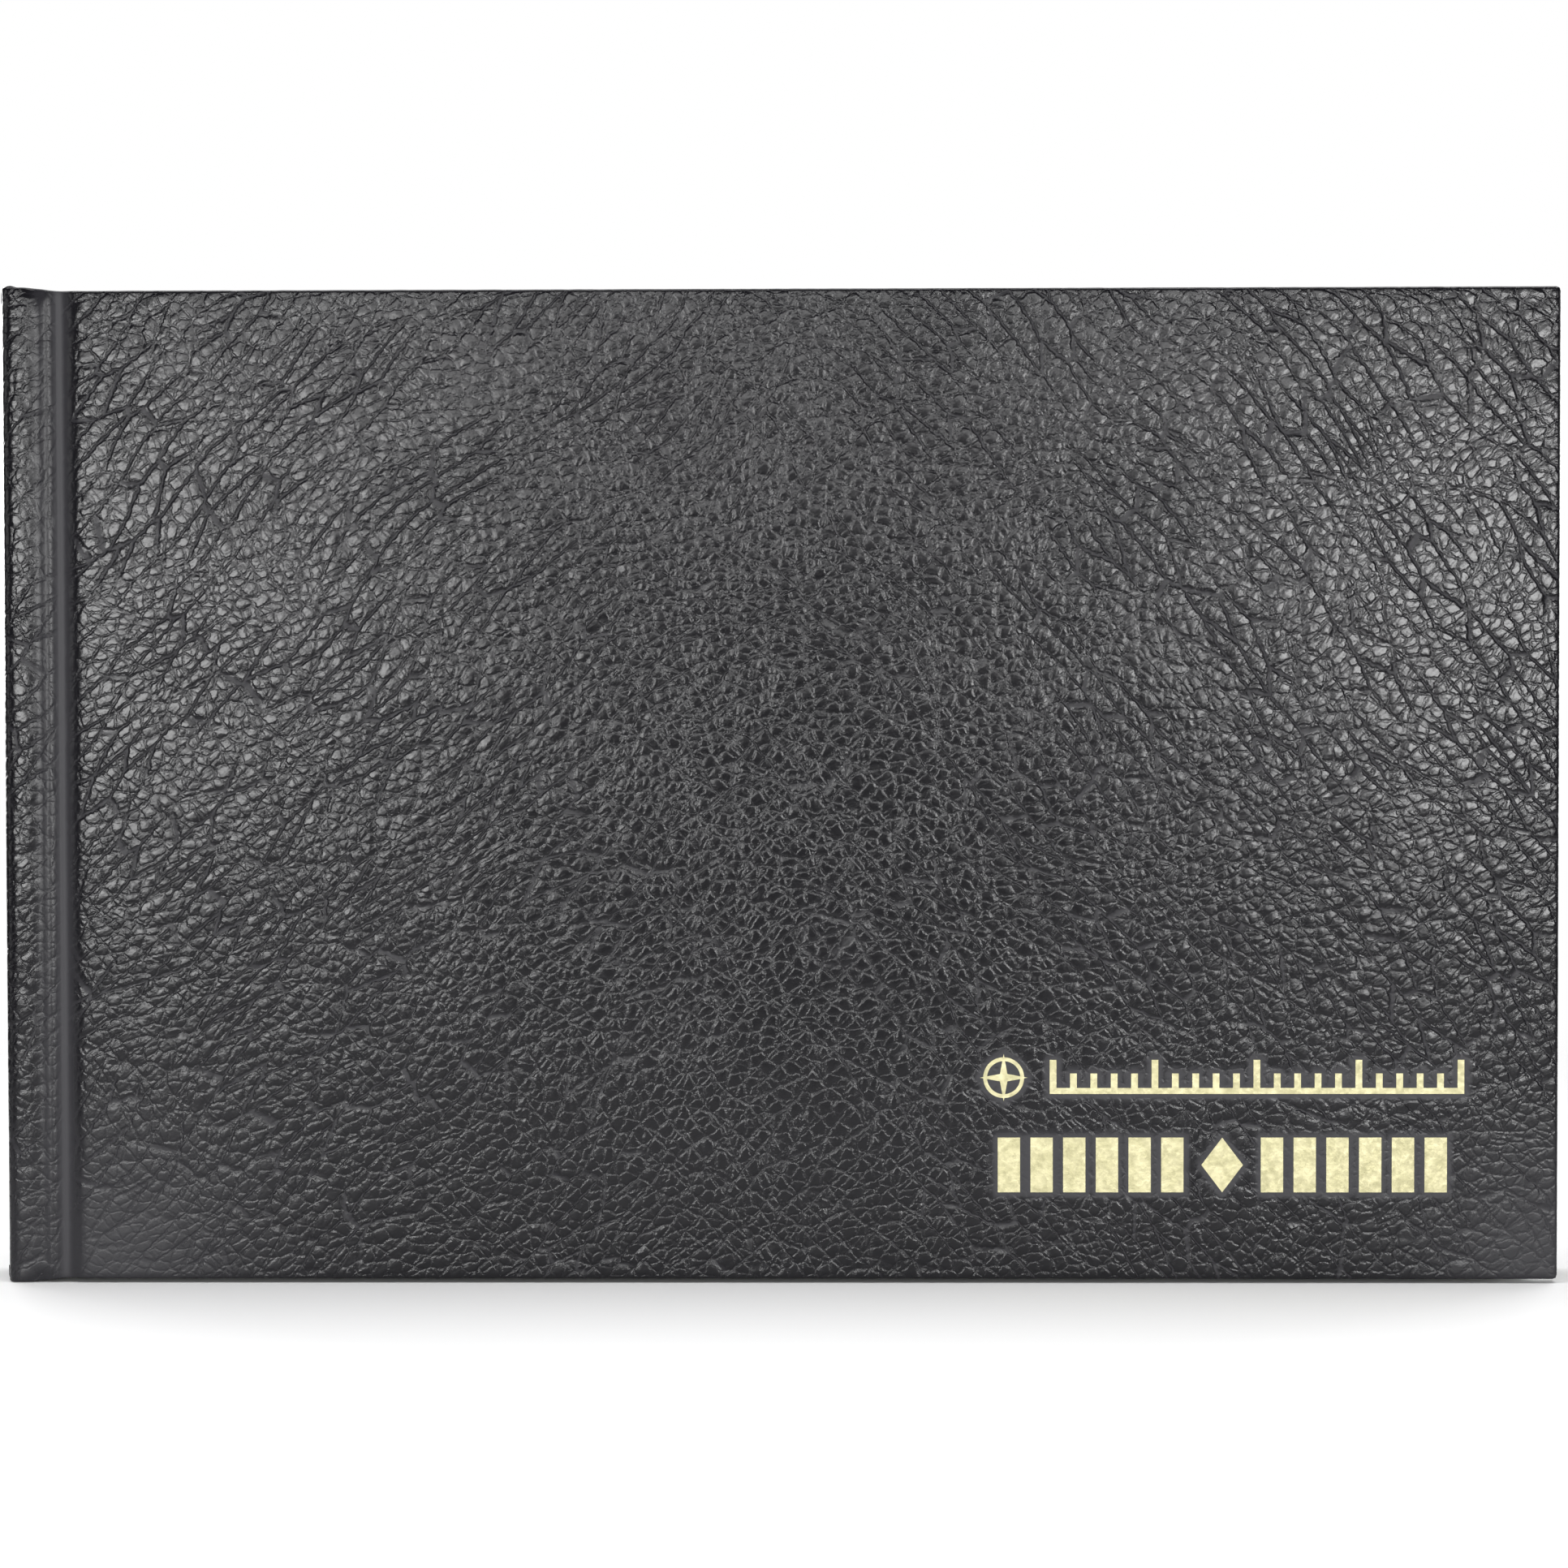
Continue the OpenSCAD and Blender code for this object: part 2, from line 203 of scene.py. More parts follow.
class Nodes:
    """Short names for making the nodes of one material, or of one geometry tree."""

    def __init__(self, tree):
        self.tree = tree
        self.shader = tree.nodes.get("Principled BSDF")

    def add(self, kind, values=None, links=None, **settings):
        node = self.tree.nodes.new(kind)
        for key, value in settings.items():
            setattr(node, key, value)
        for key, value in (values or {}).items():
            node.inputs[key].default_value = value
        for key, source in (links or {}).items():
            self.tree.links.new(source, node.inputs[key])
        return node

    def fill(self, socket, value):
        """Links a socket to another, or gives it a constant."""
        if isinstance(value, bpy.types.NodeSocket):
            self.tree.links.new(value, socket)
        elif isinstance(value, tuple) and len(value) < len(socket.default_value):
            socket.default_value = (*value, 1)
        else:
            socket.default_value = value

    def attribute(self, name, output="Fac"):
        """A number or a vector that is stored on the mesh."""
        if self.tree.type == "GEOMETRY":
            kind = "FLOAT_VECTOR" if output == "Vector" else "FLOAT"
            node = self.add("GeometryNodeInputNamedAttribute", {"Name": name}, data_type=kind)
            return next(socket for socket in node.outputs if socket.enabled)
        return self.add("ShaderNodeAttribute", attribute_name=name).outputs[output]

    def place(self, scale):
        """The place in the frame, times scale; a scale of 1000 gives millimetres."""
        coordinates = self.add("ShaderNodeTexCoord").outputs["Object"]
        return self.vector("SCALE", coordinates, scale=scale)

    def vector(self, operation, *values, scale=None):
        node = self.add("ShaderNodeVectorMath", operation=operation)
        for socket, value in zip(node.inputs, values):
            self.fill(socket, value)
        if scale is not None:
            self.fill(node.inputs["Scale"], scale)
        return node.outputs["Vector"]

    def vector_length(self, value):
        node = self.add("ShaderNodeVectorMath", operation="LENGTH")
        self.fill(node.inputs[0], value)
        return node.outputs["Value"]

    def turned(self, vector, degrees, stretch):
        """A flat vector turned round, and pressed together along its new first axis."""
        turned = self.add("ShaderNodeVectorRotate", {"Angle": math.radians(-degrees)},
                          {"Vector": vector}, rotation_type="Z_AXIS").outputs["Vector"]
        return self.vector("MULTIPLY", turned, (1 / stretch, 1.0, 1.0))

    def noise(self, vector, scale, detail=3.0, rough=0.5, output="Fac"):
        values = {"Scale": scale, "Detail": detail, "Roughness": rough}
        node = self.add("ShaderNodeTexNoise", values, {"Vector": vector})
        return next(o for o in node.outputs if o.identifier == output)

    def border(self, vector, size):
        """Distance in millimetres to the border between cells about size across."""
        node = self.add("ShaderNodeTexVoronoi", {"Scale": 1 / size}, {"Vector": vector},
                        feature="DISTANCE_TO_EDGE", voronoi_dimensions="2D")
        return self.math("MULTIPLY", node.outputs["Distance"], size)

    def middle(self, vector, size):
        """Distance in millimetres to the middle of the nearest cell, of cells about size across."""
        node = self.add("ShaderNodeTexVoronoi", {"Scale": 1 / size}, {"Vector": vector},
                        feature="F1", voronoi_dimensions="2D")
        return self.math("MULTIPLY", node.outputs["Distance"], size)

    def math(self, operation, a, b=None, clamp=False):
        node = self.add("ShaderNodeMath", operation=operation, use_clamp=clamp)
        for socket, value in zip(node.inputs, (a, b)):
            if value is not None:
                self.fill(socket, value)
        return node.outputs[0]

    def spread(self, value, low, high, to_low=0.0, to_high=1.0):
        """Maps low..high of a value softly to to_low..to_high."""
        values = {"From Min": low, "From Max": high, "To Min": to_low, "To Max": to_high}
        return self.add("ShaderNodeMapRange", values, {"Value": value},
                        interpolation_type="SMOOTHSTEP").outputs["Result"]

    def mix(self, factor, a, b):
        """A colour between a and b; each is a colour or a socket."""
        node = self.add("ShaderNodeMix", data_type="RGBA")
        for key, value in ((0, factor), (6, a), (7, b)):
            self.fill(node.inputs[key], value)
        return node.outputs[2]

    def set(self, **inputs):
        for key, value in inputs.items():
            self.fill(self.shader.inputs[key.replace("_", " ")], value)

    def bump(self, height, distance, strength=1.0):
        node = self.add("ShaderNodeBump", {"Distance": distance}, {"Height": height})
        self.fill(node.inputs["Strength"], strength)
        return node.outputs["Normal"]


def leather_height(n, at, crease_w, pebble_w):
    """The grain's height in millimetres, and how far a place is in a crease or on a pebble."""
    jitter = n.vector("SUBTRACT", n.noise(at, 0.9, detail=4.0, rough=0.62, output="Color"), (0.5, 0.5, 0.5))
    drift = n.vector("SUBTRACT", n.noise(at, 0.03, detail=1.0, output="Color"), (0.5, 0.5, 0.5))
    bent = n.vector("ADD", at, n.vector("SCALE", jitter, scale=GRAIN_JITTER))
    bent = n.vector("ADD", bent, n.vector("SCALE", drift, scale=GRAIN_DRIFT))
    across = n.add("ShaderNodeSeparateXYZ", links={"Vector": at}).outputs["X"]
    creases = 0.0
    for degrees, size, low, high in CREASES:
        border = n.border(n.turned(bent, degrees, CREASE_STRETCH), size)
        patchy = n.spread(n.noise(n.turned(at, degrees, 2.0), 0.11, detail=1.0), 0.32, 0.62, 0.25, 1.0)
        weight = n.math("MULTIPLY", n.spread(across, 55.0, 165.0, low, high), patchy)
        line = n.math("MULTIPLY", n.spread(border, 0.0, crease_w, 1.0, 0.0), weight)
        creases = n.math("MAXIMUM", creases, line)
    middle = n.middle(n.turned(bent, 20, 1.25), PEBBLE_SIZE)
    dome = n.math("SUBTRACT", 1.0, n.math("POWER", n.math("DIVIDE", middle, PEBBLE_SIZE * 0.6), 2.0))
    pebble = n.spread(n.border(n.turned(bent, 20, 1.25), PEBBLE_SIZE), 0.0, pebble_w)
    height = n.math("MULTIPLY", pebble, PEBBLE_H)
    height = n.math("ADD", height, n.math("MULTIPLY", dome, DOME_H))
    lumps = n.noise(n.turned(at, 40, 1.5), 0.75, detail=2.0)
    height = n.math("ADD", height, n.math("MULTIPLY", lumps, LUMP_H))
    height = n.math("SUBTRACT", height, n.math("MULTIPLY", creases, CREASE_H))
    return height, creases, pebble


def emboss(piece, crease_w, pebble_w):
    """Moves the points of a leatherette piece by the same grain that its material has."""
    tree = bpy.data.node_groups.new("grain", "GeometryNodeTree")
    tree.interface.new_socket("Geometry", in_out="INPUT", socket_type="NodeSocketGeometry")
    tree.interface.new_socket("Geometry", in_out="OUTPUT", socket_type="NodeSocketGeometry")
    n = Nodes(tree)
    start, end = n.add("NodeGroupInput"), n.add("NodeGroupOutput")
    height, _, _ = leather_height(n, n.attribute("sheet", "Vector"), crease_w, pebble_w)
    height = n.math("MULTIPLY", height, EMBOSS_SHARE)
    lively = n.math("SUBTRACT", 1.0, n.attribute("calm"))
    height = n.math("SUBTRACT", n.math("MULTIPLY", height, lively), n.attribute("sunk"))
    along = n.vector("SCALE", n.add("GeometryNodeInputNormal").outputs[0],
                     scale=n.math("MULTIPLY", height, MM))
    moved = n.add("GeometryNodeSetPosition", links={"Geometry": start.outputs[0], "Offset": along})
    tree.links.new(moved.outputs[0], end.inputs[0])
    modifier = piece.modifiers.new("grain", "NODES")
    modifier.node_group = tree
    graph = bpy.context.evaluated_depsgraph_get()
    mesh = bpy.data.meshes.new_from_object(
        piece.evaluated_get(graph), preserve_all_data_layers=True, depsgraph=graph)
    piece.modifiers.clear()
    piece.data = mesh
    mesh.polygons.foreach_set("use_smooth", [True] * len(mesh.polygons))


# ---------- leatherette ----------

EDGE_R = 0.4
CORNER_R = 0.6
GRAIN_STEP = 0.61
BEND_STEP = 0.42
FOIL_DEPTH = 0.06
# Two networks of creases: the way they run, their spacing, and their strength left and right
CREASES = [(48, 2.7, 1.0, 0.4), (130, 2.7, 0.35, 1.0)]
CREASE_STRETCH = 3.2
CREASE_H = 0.066
PEBBLE_SIZE = 1.5
PEBBLE_H = 0.018
DOME_H = 0.012
LUMP_H = 0.05
GRAIN_DEPTH = 0.05
EMBOSS_SHARE = 0.4
GRAIN_JITTER = 0.95
GRAIN_DRIFT = 9.0
# Widths of the slopes beside a crease and beside a pebble, in the material and in the mesh
SHADER_SLOPES = (0.3, 0.28)
MESH_SLOPES = (0.9, 0.5)
# Section through half the spine, the joint groove and the start of the cover, as [s, d]
SPINE_PROFILE = [
    [0, HALF_T], [0, 4.5], [0, 1.9], [0.12, 0.95], [0.55, 0.3], [1.4, 0.06], [3.2, 0.07],
    [4.9, 0.2], [6.0, 0.08], [6.8, 0.24], [7.5, 0.52], [HINGE_S + 0.2, 0.62], [8.9, 0.46],
    [9.5, 0.22], [BOARD_S + 0.4, 0.07], [BOARD_S + 1.3, 0],
]


def spline(points, per_span=12):
    """A smooth line through points, as many short steps."""
    p = np.array(points, float)
    p = np.vstack([2 * p[0] - p[1], p, 2 * p[-1] - p[-2]])
    out = []
    for i in range(1, len(p) - 2):
        t = np.linspace(0, 1, per_span, endpoint=False)[:, None]
        out.append(0.5 * (
            2 * p[i] + (p[i + 1] - p[i - 1]) * t
            + (2 * p[i - 1] - 5 * p[i] + 4 * p[i + 1] - p[i + 2]) * t**2
            + (3 * p[i] - p[i - 1] - 3 * p[i + 1] + p[i + 2]) * t**3
        ))
    out.append(p[-2:-1])
    return np.vstack(out)


def resample(line, step):
    """Points an even step apart along a line, and each one's distance along it."""
    lengths = np.concatenate([[0], np.cumsum(np.linalg.norm(np.diff(line, axis=0), axis=1))])
    count = int(round(lengths[-1] / step)) + 1
    at = np.linspace(0, lengths[-1], count)
    return np.stack([np.interp(at, lengths, line[:, k]) for k in range(2)], axis=1), at


def cover_profile():
    """The outer line from the middle of the spine to the fore edge, as s, d and length u."""
    bend, bend_u = resample(spline(SPINE_PROFILE), BEND_STEP)
    flat_end = COVER_S - EDGE_R
    count = int(round((flat_end - bend[-1, 0]) / GRAIN_STEP)) + 1
    flat_s = np.linspace(bend[-1, 0], flat_end, count)[1:]
    s = np.concatenate([bend[:, 0], flat_s])
    d = np.concatenate([bend[:, 1], np.zeros(count - 1)])
    u = np.concatenate([bend_u, bend_u[-1] + flat_s - bend[-1, 0]])
    return s, d, u


def inward_normals(s, d):
    """Unit vectors that point into the book from a profile."""
    ds, dd = np.gradient(s), np.gradient(d)
    length = np.hypot(ds, dd)
    return -dd / length, ds / length


def round_corners(s, z):
    """Draws the square corners at head and tail of the fore edge in to a small radius."""
    z_mid = (COVER_Z0 + COVER_Z1) / 2
    in_s = np.clip(s - (COVER_S - CORNER_R), 0, None)
    in_z = np.clip(np.abs(z - z_mid) - (COVER_Z1 - z_mid - CORNER_R), 0, None)
    both = np.hypot(in_s, in_z)
    scale = np.where(both > 0, np.maximum(in_s, in_z) / np.maximum(both, 1e-9), 1)
    corner = (in_s > 0) & (in_z > 0)
    s = np.where(corner, s - in_s * (1 - scale), s)
    z = np.where(corner, z - np.sign(z - z_mid) * in_z * (1 - scale), z)
    return s, z


def end_heights(s):
    """Heights of the tail and head edges: the spine's ends stand a little past the boards'."""
    proud = 1 - smooth_step(s, 2.6, 8.5)
    tail = COVER_Z0 * (1 - proud)
    head = COVER_Z1 + (SPINE_H - COVER_Z1) * proud
    return tail, head


def end_scoop(s, from_end, strength):
    """Extra depth where the leatherette dives in beside the spine at head and tail."""
    across = np.exp(-(((s - 4.7) / 1.5) ** 2))
    return strength * across * np.exp(-((np.clip(from_end, 0, None) / 0.9) ** 2))


def foil_distance(points):
    """Distance in millimetres from points on the front cover to the nearest foil."""
    best = np.full(len(points), 9.0)
    for node in ("foil_emblem", "foil_scale", "foil_stripes"):
        node_low, node_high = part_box(node)
        mesh = frame["nodes"][node].data
        tree = BVHTree.FromPolygons(
            [v.co for v in mesh.vertices], [p.vertices for p in mesh.polygons])
        margin = 2 * MM
        near = (
            (points[:, 0] > node_low.x - margin) & (points[:, 0] < node_high.x + margin)
            & (points[:, 2] > node_low.z - margin) & (points[:, 2] < node_high.z + margin)
        )
        for i in np.flatnonzero(near):
            at = Vector((points[i, 0], node_low.y, points[i, 2]))
            best[i] = min(best[i], mm(tree.find_nearest(at)[3]))
    return best


def quiet_places(s, z, points, side):
    """How far the grain is smoothed out at each point, and how deep the point is pressed in."""
    calm = np.exp(-(((s - HINGE_S) / 1.3) ** 2))
    calm = np.maximum(calm, 0.55 * np.exp(-(((s - 5.6) / 1.2) ** 2)))
    for corner_s, strength, reach in ((COVER_S, 0.6, 16), (14, 0.6, 18)):
        away = np.hypot(s - corner_s, z - COVER_Z0)
        calm = np.maximum(calm, strength * np.exp(-((away / reach) ** 2)))
    sunk = np.full(len(s), GRAIN_DEPTH)
    if side == FRONT:
        press = 1 - smooth_step(foil_distance(points), 0.15, 1.1)
        calm = np.maximum(calm, press)
        sunk = sunk * (1 - press) + FOIL_DEPTH * press
    return calm, sunk


def cover_leather(side):
    """Half the spine, one joint and one cover in a single wrapped sheet of leatherette."""
    name = SIDE_NAMES[side]
    s, d, u = cover_profile()
    n_s, n_d = inward_normals(s, d)
    columns = len(s)
    rows = int(round((COVER_Z1 - COVER_Z0 - 2 * EDGE_R) / GRAIN_STEP)) + 1
    thick = SKIN_T * 1.6 + (COVER_T - SKIN_T * 1.6) * smooth_step(s, BOARD_S - 1.2, BOARD_S)
    edge_r = np.minimum(EDGE_R, thick * 0.48)
    tail, head = end_heights(s)
    share = np.linspace(0, 1, rows)[:, None]
    z = (tail + edge_r)[None] * (1 - share) + (head - edge_r)[None] * share
    scoop = end_scoop(s[None], z - tail[None], 0.35) + end_scoop(s[None], head[None] - z, 0.6)
    face_s, face_z = round_corners(s[None] + n_s[None] * scoop, z)
    points = [place(face_s, d[None] + n_d[None] * scoop, face_z, side).reshape(-1, 3)]
    uv = [np.stack([np.broadcast_to(u, z.shape), z], axis=-1).reshape(-1, 2)]
    faces = grid_faces(rows, columns)

    # The rim runs along the tail, up the fore edge and back along the head
    rim = list(range(columns))
    rim += [row * columns + columns - 1 for row in range(1, rows)]
    rim += [(rows - 1) * columns + column for column in range(columns - 2, -1, -1)]
    base_s = np.concatenate([s, np.full(rows - 2, s[-1]), s[::-1]])
    base_d = np.concatenate([d, np.zeros(rows - 2), d[::-1]])
    along = [np.arange(columns), np.full(rows - 2, columns - 1), np.arange(columns)[::-1]]
    column_of = np.concatenate(along)
    z_flat = np.concatenate([z[0], z[1:-1, -1], z[-1][::-1]])
    u_flat = u[column_of]
    edge_of = np.concatenate([np.full(columns, -1), np.zeros(rows - 2), np.full(columns, 1)])
    is_corner = np.zeros(len(rim), bool)
    is_corner[columns - 1] = is_corner[columns + rows - 2] = True
    fore = (edge_of == 0) | is_corner
    t_rim, r_rim = thick[column_of], edge_r[column_of]
    scoop_rim = np.concatenate([scoop[0], scoop[1:-1, -1], scoop[-1][::-1]])
    quarter = np.linspace(0, math.pi / 2, 6)[1:]
    steps = [(1 - math.sin(a), 0, 1 - math.cos(a), 0) for a in quarter]
    steps += [(1 - math.cos(a), 0, math.sin(a) - 1, 1) for a in quarter[:-1]]
    steps += [(1, part * (TURN_IN - EDGE_R), 0, 1) for part in (0, 0.1, 0.3, 0.6, 1)]
    steps += [(1, TURN_IN - EDGE_R + 0.12, -SKIN_T / 0.7, 1)]
    previous = np.array(rim)
    z_mid = (COVER_Z0 + COVER_Z1) / 2
    z_reach = COVER_Z1 - EDGE_R - z_mid
    squeeze = 30
    for r_part, inset, r_depth, t_part in steps:
        out = r_rim * (1 - r_part) - inset
        depth = r_depth * r_rim + t_part * t_rim + scoop_rim * (1 - min(inset / 3, 1))
        near_fore = np.clip(base_s - (COVER_S - EDGE_R - squeeze), 0, squeeze) / squeeze
        ring_s = base_s + n_s[column_of] * depth + near_fore * out
        ring_z = z_flat + edge_of * out
        ring_z = np.where(edge_of == 0, z_mid + (z_flat - z_mid) * (1 + out / z_reach), ring_z)
        ring_s, ring_z = round_corners(ring_s, ring_z) if inset < CORNER_R else (ring_s, ring_z)
        start = sum(len(p) for p in points)
        points.append(place(ring_s, base_d + n_d[column_of] * depth, ring_z, side))
        travelled = depth + np.maximum(inset, 0)
        uv.append(np.stack([u_flat + fore * travelled, z_flat + edge_of * travelled], axis=-1))
        current = start + np.arange(len(rim))
        for i in range(len(rim) - 1):
            ring_face = (previous[i + 1], previous[i], current[i], current[i + 1])
            faces.append(tuple(int(p) for p in ring_face))
        previous = current
    # Inside, long strips from tail to head close the sheet
    last = len(rim) - 1
    for i in range(columns - 2):
        a, b = int(previous[i]), int(previous[i + 1])
        faces.append((b, a, int(previous[last - i]), int(previous[last - i - 1])))
    faces.append(tuple(int(p) for p in previous[columns - 2:columns + rows][::-1]))

    points = np.concatenate(points)
    uv = np.concatenate(uv)
    piece = mesh_object(name + "_cover_leather", points, faces, flip=side == BACK)
    sheet_s = np.concatenate([np.broadcast_to(s, z.shape).ravel(), np.tile(base_s, len(steps))])
    calm, sunk = quiet_places(sheet_s, uv[:, 1], points, side)
    set_sheet(piece, uv + [0 if side == FRONT else 400, 0])
    set_attribute(piece, "calm", calm)
    set_attribute(piece, "sunk", sunk)
    emboss(piece, *MESH_SLOPES)
    piece.data.materials.append(leatherette())
    hinge = HINGE[name + "_cover_hinge"]
    level = mm(hinge["pos_m"][2])
    place(5.9, 0, level, side).ravel()
    place(BOARD_S, 0, level, side).ravel()
    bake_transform(piece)
    return piece


# ---------- materials ----------


def material(function):
    """Makes each material once and hands it out again after that."""
    kept = []

    def made():
        if not kept:
            kept.append(bpy.data.materials.new(function.__name__))
            kept[0].use_nodes = True
            function(Nodes(kept[0].node_tree))
        return kept[0]
    return made


@material
def leatherette(n):
    at = n.attribute("sheet", "Vector")
    fine = n.noise(at, 2.6, detail=3, rough=0.6)
    height, crease, pebble = leather_height(n, at, *SHADER_SLOPES)
    height = n.math("ADD", height, n.math("MULTIPLY", fine, 0.008))
    lively = n.math("SUBTRACT", 1.0, n.attribute("calm"))
    between = n.math("POWER", n.math("SUBTRACT", 1.0, pebble), 2.0)
    seam = n.math("MULTIPLY", between, n.spread(fine, 0.42, 0.58, 0.0, 0.25))
    fold = n.math("MULTIPLY", n.math("POWER", crease, 3.5), n.spread(fine, 0.3, 0.5, 0.5, 1.0))
    # Painted highlight mask: creases and the seams between pebbles, coloured lighter below for the side light
    # their walls would catch; they are rougher too
    painted_crease_glint = n.math("MULTIPLY", n.math("MAXIMUM", seam, fold), lively)
    blotch = n.spread(n.noise(at, 0.035, detail=3), 0.3, 0.7)
    tone = n.mix(blotch, (0.0044, 0.0042, 0.0058), (0.0062, 0.0058, 0.0076))
    # Lighter colour where the grain is smoothed out: in the joint groove this is painted light, standing in for
    # the light its smooth walls would catch; the same lighter colour goes round the foil, on the lower corners and
    # on the spine caps
    tone = n.mix(n.attribute("calm"), tone, (0.034, 0.033, 0.038))
    # Painted highlight: the masked creases and seams get a lighter colour than the leatherette's own dark tone
    n.set(Base_Color=n.mix(painted_crease_glint, tone, (0.019, 0.018, 0.022)))
    rough = n.spread(painted_crease_glint, 0.0, 0.7, 0.18, 0.37)
    rough = n.math("ADD", rough, n.math("MULTIPLY", n.attribute("calm"), 0.24))
    n.set(Roughness=rough, Specular_IOR_Level=0.26)
    n.set(Normal=n.bump(height, MM, lively))


@material
def gold_foil(n):
    at = n.place(1000)
    crackle = n.noise(at, 1.6, detail=4, rough=0.6)
    patches = n.spread(n.noise(at, 0.5, detail=2), 0.35, 0.65)
    n.set(Base_Color=n.mix(patches, (0.40, 0.375, 0.22), (0.47, 0.44, 0.27)), Metallic=0.85)
    n.set(Roughness=n.spread(crackle, 0.3, 0.7, 0.38, 0.55))
    n.set(Normal=n.bump(crackle, 0.00005, 0.6))


@material
def greyboard(n):
    at = n.place(1000)
    fibre = n.noise(at, 1.2, detail=5, rough=0.65)
    n.set(Base_Color=n.mix(fibre, (0.24, 0.22, 0.19), (0.42, 0.39, 0.34)), Roughness=0.9)
    n.set(Normal=n.bump(fibre, 0.0001, 0.6))


@material
def kraft(n):
    at = n.place(1000)
    fibre = n.noise(at, 2.0, detail=5, rough=0.6)
    n.set(Base_Color=n.mix(fibre, (0.30, 0.19, 0.10), (0.44, 0.29, 0.16)), Roughness=0.85)
    n.set(Normal=n.bump(fibre, 0.00005, 0.5))


def weave(n, at, pitch, light, dark):
    """Crossed threads with gaps between them."""
    split = n.add("ShaderNodeSeparateXYZ", links={"Vector": at})
    ribs = [n.math("PINGPONG", split.outputs[axis], pitch) for axis in ("Y", "Z")]
    thread = n.math("MINIMUM", n.spread(ribs[0], 0, pitch * 0.6), n.spread(ribs[1], 0, pitch * 0.6))
    n.set(Base_Color=n.mix(thread, light, dark), Roughness=0.9)
    n.set(Normal=n.bump(thread, 0.00012, 0.8))


@material
def gauze(n):
    weave(n, n.place(1000), 0.35, (0.70, 0.65, 0.53), (0.30, 0.25, 0.18))


@material
def thread(n):
    at = n.place(1000)
    twist = n.add("ShaderNodeTexWave", {"Scale": 1.4, "Distortion": 0.4}, {"Vector": at},
                  bands_direction="DIAGONAL").outputs["Fac"]
    n.set(Base_Color=n.mix(twist, (0.62, 0.59, 0.50), (0.82, 0.79, 0.70)), Roughness=0.6)
    n.set(Normal=n.bump(twist, 0.00005, 0.6))


@material
def end_band(n):
    wraps = n.attribute("wrap")
    fuzz = n.noise(n.place(1000), 6.0, detail=3)
    tone = n.mix(n.spread(wraps, 0.45, 0.55), (0.80, 0.78, 0.72), (0.03, 0.03, 0.035))
    n.set(Base_Color=tone, Roughness=0.75, Sheen_Weight=0.2)
    n.set(Normal=n.bump(fuzz, 0.00004, 0.5))


def paper(n, light, dark, at):
    """Faint fibres and clouds in a sheet of paper; returns its colour."""
    fibre = n.noise(at, 1.4, detail=6, rough=0.7)
    cloud = n.noise(at, 0.02, detail=3)
    n.set(Roughness=0.82, Normal=n.bump(fibre, 0.00002, 0.6), Specular_IOR_Level=0.26)
    return n.mix(n.math("MULTIPLY", n.math("ADD", fibre, cloud), 0.5), dark, light)


@material
def endpaper(n):
    n.set(Base_Color=paper(n, (0.80, 0.775, 0.69), (0.73, 0.70, 0.61), n.attribute("sheet", "Vector")))


@material
def page_edges(n):
    tone = paper(n, (0.80, 0.79, 0.71), (0.70, 0.69, 0.60), n.place(1000))
    n.set(Base_Color=n.mix(n.attribute("shade"), tone, (0.50, 0.48, 0.39)))


# The printed table of a page: its edges, the line under its heading, and its rows and columns
LEDGER_X = (17, 197)
LEDGER_Z = (14, 120)
LEDGER_HEAD = 108
LEDGER_ROW = 7.23
LEDGER_COLUMN = 15


@material
def ledger(n):
    """Pale paper with printed rows and columns, and no words."""
    at = n.attribute("sheet", "Vector")
    tone = paper(n, (0.80, 0.81, 0.73), (0.73, 0.74, 0.65), at)
    split = n.add("ShaderNodeSeparateXYZ", links={"Vector": at})
    x, z = split.outputs["X"], split.outputs["Y"]

    def between(value, low, high):
        return n.math("MULTIPLY", n.math("GREATER_THAN", value, low), n.math("LESS_THAN", value, high))

    def widened(value, edges, margin):
        return between(value, edges[0] - margin, edges[1] + margin)

    def every(value, start, half_pitch, width):
        return n.math("LESS_THAN", n.math("PINGPONG", n.math("SUBTRACT", value, start), half_pitch), width)

    left, foot = LEDGER_X[0], LEDGER_Z[0]
    inside = n.math("MULTIPLY", widened(x, LEDGER_X, 0), widened(z, LEDGER_Z, 0))
    body = n.math("MULTIPLY", inside, n.math("LESS_THAN", z, LEDGER_HEAD))
    row = every(z, foot, LEDGER_ROW / 2, 0.11)
    in_pair = n.math("MODULO", n.math("SUBTRACT", z, foot), 2 * LEDGER_ROW)
    band = n.math("LESS_THAN", in_pair, LEDGER_ROW)
    column = every(x, left, LEDGER_COLUMN / 2, 0.1)
    heavy = every(x, left, 2 * LEDGER_COLUMN, 0.2)
    head = n.math("MULTIPLY", between(z, LEDGER_HEAD - 0.2, LEDGER_HEAD + 0.2), inside)
    wide_x, wide_z = widened(x, LEDGER_X, 0.3), widened(z, LEDGER_Z, 0.3)
    frame_x = n.math("SUBTRACT", wide_x, widened(x, LEDGER_X, -0.1))
    frame_z = n.math("SUBTRACT", wide_z, widened(z, LEDGER_Z, -0.1))
    border = n.math("ADD", n.math("MULTIPLY", frame_x, wide_z),
                    n.math("MULTIPLY", frame_z, wide_x), clamp=True)
    tint = n.math("MULTIPLY", n.math("MULTIPLY", band, body), 0.5)
    tone = n.mix(tint, tone, (0.55, 0.68, 0.55))
    lines = n.math("MULTIPLY", n.math("ADD", row, column, clamp=True), body)
    lines = n.math("MAXIMUM", lines, n.math("MULTIPLY", heavy, inside))
    lines = n.math("MAXIMUM", lines, n.math("MAXIMUM", head, border))
    n.set(Base_Color=n.mix(n.math("MULTIPLY", lines, 0.75), tone, (0.10, 0.22, 0.16)))


# Distances in metres from the book between which the floor fades away
FLOOR_FADE = (0.24, 0.42)


